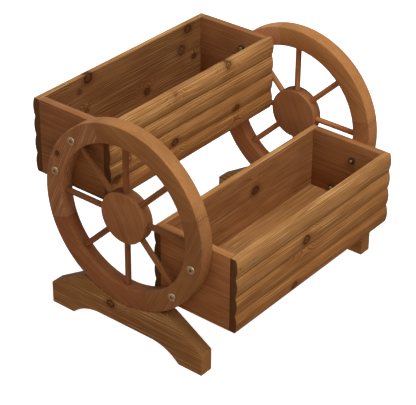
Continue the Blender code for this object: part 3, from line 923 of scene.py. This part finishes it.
@dataclass
class SpokedWheel:
    """One wheel: felloes, dowel spokes and a hub disc.

    Attributes:
        joint_degrees: Where the first felloe starts, counted from Y to Z.
        planks: The tone, the ground and the darker ground of each felloe.
        joint_gap: How far a felloe stops short of its joint.
        rough: The finish of the left wheel's last felloe, which holds a knot.
        hub_lean: The way of the grain in the hub.
        dowel_tone: The spokes' tone, and disc_tone the hub's. On the right wheel, tone and
            dowel_tone are raised as painted light, since the lamps leave its inner face dim.
    """

    side: Side
    joint_degrees: float
    tone: float
    dowel_tone: float
    disc_tone: float
    rim_width: float = 0.034
    edge_rounding: float = 0.0016
    joint_gap: float = 0.00003
    spokes: int = 8
    spoke_radius: float = 0.005
    felloes: int = 4
    planks: tuple[tuple[float, str, str], ...] = (
        (0.98, "#b07443", "#9a6034"),
        (0.90, "#b07445", "#985e36"),
        (0.84, "#b36d42", "#9d5933"),
        (1.05, "#b4774f", "#9d623f"),
    )
    fir: StainedFir = StainedFir(hub_mm=143.0, streaks=0.18, rings=0.26)
    rough: StainedFir = StainedFir(
        hub_mm=143.0, streaks=0.6, rings=0.34, ring_mm=5.2, wobble_mm=9.0
    )
    dowel: StainedFir = StainedFir(body="#b27043", deep="#975a33", ring_mm=2.6, streaks=0.25)
    disc: StainedFir = StainedFir(body="#ae7045", deep="#965b36", streaks=0.12, rings=0.25)
    hub_lean: Point3 = (0, 0.42, 0.907)

    def build(self, felloe: GeometryRecipe, ring: GeometryRecipe) -> None:
        """Builds and dresses the wheel."""
        for index in range(self.felloes):
            self._felloe(felloe, index)
        self._spokes(ring)
        self._hub()

    def _felloe(self, recipe: GeometryRecipe, index: int) -> None:
        """A quarter of the rim, cut from a plank whose grain follows its chord."""
        label = self.side.label
        node = f"{label}_wheel_felloe_{index + 1}"
        low, high, _ = span(node)
        centre = span(f"{label}_wheel_hub")[2]
        outer = -span(f"{label}_foot")[0].y
        radius = outer - self.rim_width / 2
        sweep = 2 * math.pi / self.felloes
        start = math.radians(self.joint_degrees) + sweep * index
        trim = self.joint_gap / outer
        obj = new_object(node.replace("felloe", "rim_felloe"), bmesh.new())
        turn = start + sweep / 2
        out = Vector((0, math.cos(turn), math.sin(turn)))
        face = Vector((self.side.value, 0, 0))
        rough = self.side is Side.LEFT and index == self.felloes - 1
        seed = index * 3.7 + self.side.value * 1.9 + 20
        knots = (Knot(-6.0, 6.0, 4.0),) if rough else ()
        along = out.cross(face) * -1
        grain = Grain(centre + out * radius, along, face, Sawn.FLAT, seed, knots)
        shade, body, deep = self.planks[index]
        finish = self.rough if rough else self.fir
        finish = replace(finish, tone=self.tone * shade, body=body, deep=deep)
        material = finish.material(f"{label} felloe {index + 1} stained fir", grain)
        recipe.apply(
            obj,
            Middle_Radius=radius,
            Width=self.rim_width,
            Thickness=high.x - low.x,
            Edge=self.edge_rounding,
            Start=start + trim,
            Sweep=sweep - 2 * trim,
            Material=material,
        )
        settle(obj)
        stand = Matrix(((0, 0, 1), (1, 0, 0), (0, 1, 0))).to_4x4()
        obj.data.transform(Matrix.Translation(centre) @ stand)
        dress(obj, material, "rim", node)

    def _spokes(self, recipe: GeometryRecipe) -> None:
        """All the dowels of the wheel in one piece."""
        label = self.side.label
        nodes = [f"{label}_wheel_spoke_{i + 1}" for i in range(self.spokes)]
        low, high, _ = span(nodes[0])
        centre = span(f"{label}_wheel_hub")[2]
        obj = new_object(f"{label}_wheel_spokes", bmesh.new())
        grain = Grain(centre, Vector((0, 0, 1)), Vector((1, 0, 0)), Sawn.RIFT, self.side.value)
        finish = replace(self.dowel, tone=self.dowel_tone)
        material = finish.material(f"{label} spokes stained dowel", grain, carried=True)
        recipe.apply(
            obj,
            Count=self.spokes,
            Inner=low.y,
            Outer=high.y,
            Radius=self.spoke_radius,
            Centre=centre,
            Material=material,
        )
        settle(obj)
        dress(obj, material, "spoke", *nodes)

    def _hub(self) -> None:
        """A flat disc with eased rims."""
        node = f"{self.side.label}_wheel_hub"
        low, high, centre = span(node)
        radius, half, ease = (high.z - low.z) / 2, (high.x - low.x) / 2, self.edge_rounding
        profile = [(-half, 0.0)]
        for sign, steps in ((-1, range(5)), (1, range(4, -1, -1))):
            for step in steps:
                turn = math.pi / 8 * step
                along = sign * (half - ease + ease * math.cos(turn))
                profile.append((along, radius - ease + ease * math.sin(turn)))
        profile.append((half, 0.0))
        obj = turned(f"{node}_disc", profile, 96)
        obj.data.transform(Matrix.Translation(centre) @ Matrix.Rotation(math.pi / 2, 4, "Y"))
        settle(obj, 30)
        face = Vector((self.side.value, 0, 0))
        seed = 31.0 + self.side.value
        grain = Grain(centre, Vector(self.hub_lean), face, Sawn.FLAT, seed)
        finish = replace(self.disc, tone=self.disc_tone)
        material = finish.material(f"{self.side.label} hub stained fir", grain)
        dress(obj, material, "hub", node)


@dataclass
class FootBoard:
    """The board under a wheel: sloped shoulders, an arch below and the wheel's cradle above."""

    side: Side
    end_height: float = 0.040
    pad_length: float = 0.047
    shoulder_flat: float = 0.0142
    arch_height: float = 0.024
    arch_slope: float = 40.0
    arch_radius: float = 0.080
    cradle_gap: float = 0.0003
    shoulder_rounding: float = 0.004
    edge_rounding: float = 0.0012
    knot: Knot = Knot(29.0, 12.0, 7.0, 0.9)
    fir: StainedFir = StainedFir(
        body="#a66e3e",
        deep="#8b572c",
        end="#a36c3d",
        end_share=0.9,
        # bevel paints shade on the foot's sloped shoulders.
        bevel=0.76,
        streaks=0.9,
        rings=0.55,
    )

    def build(self) -> None:
        """Builds and dresses the foot."""
        node = f"{self.side.label}_foot"
        low, high, middle = span(node)
        obj = prism(f"{node}_board", self._outline(high.y, high.z), low.x, high.x)
        round_edges(obj, self.edge_rounding, 40)
        settle(obj)
        middle.y = 0
        face = Vector((self.side.value, 0, 0))
        seed = 40.0 + self.side.value
        grain = Grain(middle, Vector((0, 1, 0)), face, Sawn.RIFT, seed, (self.knot,))
        material = self.fir.material(f"{self.side.label} foot stained fir", grain)
        dress(obj, material, "foot", node)

    def _outline(self, half: float, height: float) -> list[Point2]:
        """The foot's (y, z) outline, round the arch and over the cradle.

        Args:
            half: Half the foot's length.
            height: The height of its shoulders.

        Returns:
            The outline's points.
        """
        hub = span(f"{self.side.label}_wheel_hub")[2]
        cradle = half + self.cradle_gap
        bend, top = self.arch_radius, self.arch_height
        slope = math.radians(self.arch_slope)
        run = (top - bend * (1 - math.cos(slope))) / math.tan(slope) + bend * math.sin(slope)
        level_y = half - self.pad_length - run
        turns = [slope * step / 14 for step in range(15)]
        back = [(level_y + bend * math.sin(t), top - bend * (1 - math.cos(t))) for t in turns]
        lip = math.sqrt(cradle**2 - (hub.z - height) ** 2)
        end = (half, self.end_height)
        back += [(half - self.pad_length, 0), (half, 0), end]
        back += self._rounded(end, (lip + self.shoulder_flat, height), (lip, height))
        reach = math.asin(lip / cradle)
        turns = [reach * (1 - step / 20) for step in range(41)]
        bowl = [(cradle * math.sin(turn), hub.z - cradle * math.cos(turn)) for turn in turns]
        return back + bowl + [(-y, z) for y, z in reversed(back)]

    def _rounded(self, before: Point2, corner: Point2, after: Point2) -> list[Point2]:
        """A corner of the outline replaced by a short arc."""
        middle = Vector(corner)
        start = middle + (Vector(before) - middle).normalized() * self.shoulder_rounding
        end = middle + (Vector(after) - middle).normalized() * self.shoulder_rounding
        points = []
        for t in (0, 0.2, 0.4, 0.6, 0.8, 1):
            spot = start * (1 - t) ** 2 + middle * 2 * t * (1 - t) + end * t**2
            points.append((spot.x, spot.y))
        return points


@dataclass
class Hardware:
    """Bolts, nuts, foot screws and brads.

    Attributes:
        head: The thickness of a bolt's head.
        socket: Half the width of its socket across flats, and socket_depth how deep it is.
        brad_inset: How far brads sit from the siding's ends and from its edges.
        brad_reach: How far they sit from the middle of an end panel.
    """

    recipe: GeometryRecipe
    brass_film: PlatedSteel = PlatedSteel("yellow-passivated zinc plate", "#d8b796", "#b08d6c")
    zinc: PlatedSteel = PlatedSteel("dulled zinc plate", "#57462f", "#33281c", 0.6)
    brad_steel: PlatedSteel = PlatedSteel("dulled brad steel", "#3a2a1d", "#5b4531", 0.6)
    head: float = 0.0018
    shank: float = 0.003
    socket: float = 0.0025
    socket_depth: float = 0.0075
    nut_bore: float = 0.0031
    nut_rounding: float = 0.0005
    brad_inset: Point2 = (0.0068, 0.0168)
    brad_reach: float = 0.054

    def build(self) -> None:
        """Builds and dresses all fasteners, one piece for each kind and side."""
        brass, zinc = self.brass_film.material(), self.zinc.material()
        brad = self.brad_steel.material()
        for side in Side:
            self._bolts(side, brass)
            self._nuts(side, zinc)
            self._foot_screws(side, zinc)
        self._brads(brad)

    def _scatter(
        self,
        name: str,
        master: Thing,
        spots: Sequence[Vector],
        lean: Sequence[float],
        material: Finish,
    ) -> Thing:
        """Puts a copy of the master on each spot, then removes the master."""
        shape = bmesh.new()
        for spot in spots:
            shape.verts.new(spot)
        obj = new_object(name, shape)
        self.recipe.apply(obj, Fastener=master, Lean=lean, Seed=3, Material=material)
        settle(obj, 30)
        bpy.data.objects.remove(master, do_unlink=True)
        return obj

    def _names(self, side: Side, kind: str) -> list[str]:
        """The CAD nodes of one side's bolts or nuts."""
        levels = ("low", "high")
        return [f"{side.label}_{tier.label}_{level}_{kind}" for tier in Tier for level in levels]

    def _bolt(self, length: float, radius: float) -> Shape:
        """A flat-headed bolt with a hexagon socket, its head standing on the XY plane."""
        top, sides, sixth = self.head, 48, math.pi / 3
        foot = top - length
        dome = [(top, 0.0033), (top, radius - 0.0011), (top - 0.0004, radius - 0.0004)]
        dome += [(top - 0.0011, radius), (0.0, radius), (0.0, self.shank)]
        dome += [(foot + 0.0005, self.shank), (foot, self.shank - 0.0005)]
        shape = bmesh.new()
        loops = [add_loop(shape, along, [reach] * sides) for along, reach in dome]
        turns = [(2 * math.pi * i / sides + sixth / 2) % sixth - sixth / 2 for i in range(sides)]
        flats = [self.socket / math.cos(turn) for turn in turns]
        mouth = add_loop(shape, top, flats)
        bottom = add_loop(shape, top - self.socket_depth, flats)
        for first, second in zip(loops, loops[1:]):
            add_skin(shape, first, second)
        shape.faces.new(loops[-1])
        add_skin(shape, mouth, loops[0])
        add_skin(shape, bottom, mouth)
        shape.faces.new(bottom)
        return shape

    def _bolts(self, side: Side, material: Finish) -> None:
        """One side's bolts, their heads against the wheel."""
        nodes = self._names(side, "bolt")
        low, high, _ = span(nodes[0])
        shape = self._bolt(high.x - low.x, (high.z - low.z) / 2)
        master = new_object("bolt master", shape)
        seat = (high.x if side is Side.RIGHT else low.x) - side.value * self.head
        spots = [Vector((seat, *span(node)[2].yz)) for node in nodes]
        lean = (0, side.value * math.pi / 2, 0)
        obj = self._scatter(f"{side.label}_socket_bolts", master, spots, lean, material)
        dress(obj, material, "bolt", *nodes)

    def _nuts(self, side: Side, material: Finish) -> None:
        """Hexagon nuts inside the end panels."""
        nodes = self._names(side, "nut")
        low, high, _ = span(nodes[0])
        half = (high.x - low.x) / 2
        corner = (high.y - low.y) / 2 / math.cos(math.pi / 6)
        profile = [(-half, self.nut_bore), (half, self.nut_bore), (half, corner), (-half, corner)]
        master = turned("nut master", profile + profile[:1], 6)
        round_edges(master, self.nut_rounding, 40)
        spots, lean = [span(node)[2] for node in nodes], (0, math.pi / 2, 0)
        obj = self._scatter(f"{side.label}_hex_nuts", master, spots, lean, material)
        dress(obj, material, "nut", *nodes)

    def _foot_screws(self, side: Side, material: Finish) -> None:
        """Countersunk wood screws up through the foot."""
        nodes = [f"{side.label}_foot_{wall.label}_screw" for wall in Wall]
        low, high, _ = span(nodes[0])
        length = high.z - low.z
        profile = [(0.0007, 0.0), (0.0007, 0.0016), (0.0, 0.0019), (0.0, (high.x - low.x) / 2)]
        profile += [(0.0026, 0.002), (length - 0.005, 0.002), (length, 0.0)]
        master = turned("screw master", profile, 24)
        spots = [Vector((*span(node)[2].xy, low.z)) for node in nodes]
        obj = self._scatter(f"{side.label}_foot_screws", master, spots, (0, 0, 0), material)
        dress(obj, material, "screw", *nodes)

    def _brads(self, material: Finish) -> None:
        """Brad heads that pin the siding to the end panels and the end panels to the floor."""
        profile = [(-0.0010, 0.0), (-0.0010, 0.0011), (0.0001, 0.0011)]
        profile += [(0.00025, 0.0007), (0.00025, 0.0)]
        master = turned("brad master", profile, 14)
        faces: dict[Enum, list[Vector]] = {way: [] for way in (*Wall, *Side)}
        inset_x, inset_z = self.brad_inset
        for tier in Tier:
            for wall in Wall:
                low, high, _ = span(f"{tier.label}_box_{wall.label}_siding")
                edge = low.y if wall is Wall.FRONT else high.y
                for x in (low.x + inset_x, high.x - inset_x):
                    for z in (low.z + inset_z, high.z - inset_z):
                        faces[wall].append(Vector((x, edge, z)))
            level = span(f"{tier.label}_box_floor")[2].z
            for side in Side:
                low, high, middle = span(f"{tier.label}_box_{side.label}_end")
                edge = low.x if side is Side.LEFT else high.x
                for y in (middle.y - self.brad_reach, middle.y + self.brad_reach):
                    faces[side].append(Vector((edge, y, level)))
        quarter = math.pi / 2
        whole = bmesh.new()
        for way, spots in faces.items():
            copy = bpy.data.objects.new("brad copy", master.data)
            bpy.context.scene.collection.objects.link(copy)
            tip = (0, way.value * quarter, 0)
            lean = (-way.value * quarter, 0, 0) if way in Wall else tip
            part = self._scatter(f"brads_{way.label}", copy, spots, lean, material)
            whole.from_mesh(part.data)
            bpy.data.objects.remove(part, do_unlink=True)
        bpy.data.objects.remove(master, do_unlink=True)
        obj = settle(new_object("panel_brads", whole), 30)
        dress(obj, material, "screw")


@dataclass
class Studio:
    """A pale floor, soft lights and the camera.

    Attributes:
        horizon: Where the surround's bounce gives way to its bright edge, as the sine of height.
        haze: Where the bright edge gives way to the dim ceiling.
    """

    focal_mm: float = 130.46
    sensor_mm: float = 36.0
    camera_place: Point3 = (-1.688, -1.330, 1.462)
    azimuth: float = -51.4
    elevation: float = 31.5
    roll: float = 0.5
    aim: Point3 = (0, 0, 0.2)
    horizon: Point2 = (-0.05, -0.02)
    haze: Point2 = (0.11, 0.2)
    ceiling: float = 0.28
    bounce: float = 0.34
    floor_size: float = 300
    floor_glow: float = 0.88
    bounce_colour: str = "#ffe9cc"
    lamp_colour: str = "#f0ffff"

    def build(self) -> None:
        """Sets the stage."""
        self._floor()
        self._world()
        self._area("key", (-0.22, -1.5, 1.85), 0.8, 21.5)
        self._area("overhead", (-0.12, -0.3, 2.2), 0.8, 20.5)
        self._area("rear fill", (0.9, 3.4, 2.4), 1.6, 16.0)
        self._camera()

    def _floor(self) -> None:
        """A plain matt floor that glows a little, so its shadows stay faint.

        Its bounce is the surround's lower half, which lights the planter more evenly.
        """
        shape = bmesh.new()
        bmesh.ops.create_grid(shape, x_segments=1, y_segments=1, size=self.floor_size)
        floor = new_object("studio_floor", shape)
        material = blank_material("matt white paper")
        add = TreeMaker(material.node_tree).add
        look = {"Base Color": (0.9, 0.9, 0.9, 1), "Roughness": 0.95}
        look |= {"Emission Color": (1, 1, 1, 1), "Emission Strength": self.floor_glow}
        add("ShaderNodeOutputMaterial", {"Surface": add("ShaderNodeBsdfPrincipled", look)})
        floor.visible_diffuse = False
        floor.visible_glossy = False
        floor.data.materials.append(material)

    def _world(self) -> None:
        """A white surround: a dim ceiling, a bright horizon and the floor's bounce below."""
        world = bpy.data.worlds.new("studio")
        bpy.context.scene.world = world
        world.use_nodes = True
        world.node_tree.nodes.clear()
        add = TreeMaker(world.node_tree).add
        way = add("ShaderNodeTexCoord", output="Generated")
        up = add("ShaderNodeSeparateXYZ", {0: way}, output="Z")
        edge = {"Value": up, 1: self.horizon[0], 2: self.horizon[1]}
        room = add(RANGE, {**edge, 3: self.bounce, 4: 1.0})
        tones = {0: add(RANGE, edge), 6: linear(self.bounce_colour), 7: (1.0, 1.0, 1.0, 1)}
        tint = add("ShaderNodeMix", tones, output=2, data_type="RGBA")
        haze = {"Value": up, 1: self.haze[0], 2: self.haze[1]}
        sky = add(RANGE, {**haze, 3: 1.0, 4: self.ceiling})
        glow = add(MATH, {0: room, 1: sky}, "MULTIPLY")
        surround = add("ShaderNodeBackground", {"Color": tint, "Strength": glow})
        add("ShaderNodeOutputWorld", {"Surface": surround})
        bpy.context.scene.view_settings.view_transform = "Standard"

    def _area(self, name: str, place: Point3, size: float, power: float) -> None:
        """A square softbox aimed at the planter."""
        light = bpy.data.lights.new(name, "AREA")
        light.size = size
        light.energy = power
        light.color = linear(self.lamp_colour)[:3]
        obj = bpy.data.objects.new(name, light)
        obj.location = place
        obj.rotation_mode = "QUATERNION"
        obj.rotation_quaternion = (Vector(place) - Vector(self.aim)).to_track_quat("Z", "Y")
        bpy.context.scene.collection.objects.link(obj)

    def _camera(self) -> None:
        """A long lens from the front left and above."""
        data = bpy.data.cameras.new("camera")
        data.lens = self.focal_mm
        data.sensor_width = self.sensor_mm
        camera = bpy.data.objects.new("camera", data)
        turn, lift = math.radians(self.azimuth), math.radians(self.elevation)
        level = math.cos(lift)
        back = Vector((math.sin(turn) * level, -math.cos(turn) * level, math.sin(lift)))
        aim = back.to_track_quat("Z", "Y").to_matrix().to_4x4()
        place, roll = Matrix.Translation(self.camera_place), math.radians(self.roll)
        camera.matrix_world = place @ aim @ Matrix.Rotation(roll, 4, "Z")
        bpy.context.scene.collection.objects.link(camera)
        bpy.context.scene.camera = camera


def main() -> None:
    """Builds the planter's looks and the studio."""
    logging.basicConfig(level=logging.INFO, format="%(name)s: %(message)s")
    boards, dowels = log_board_recipe(), dowel_ring_recipe()
    rims, fasteners = felloe_recipe(), fastener_recipe()
    Studio().build()
    for tier in Tier:
        PlanterBox(tier, boards).build()
    # The right wheel's higher tone and dowel_tone are painted light, since the lamps leave its
    # inner face dim.
    wheels = (
        SpokedWheel(Side.LEFT, joint_degrees=70.0, tone=1.0, dowel_tone=0.84, disc_tone=1.1),
        SpokedWheel(Side.RIGHT, joint_degrees=77.5, tone=1.17, dowel_tone=1.32, disc_tone=0.96),
    )
    for wheel in wheels:
        wheel.build(rims, dowels)
        FootBoard(wheel.side).build()
    Hardware(fasteners).build()


if __name__ == "__main__":
    main()
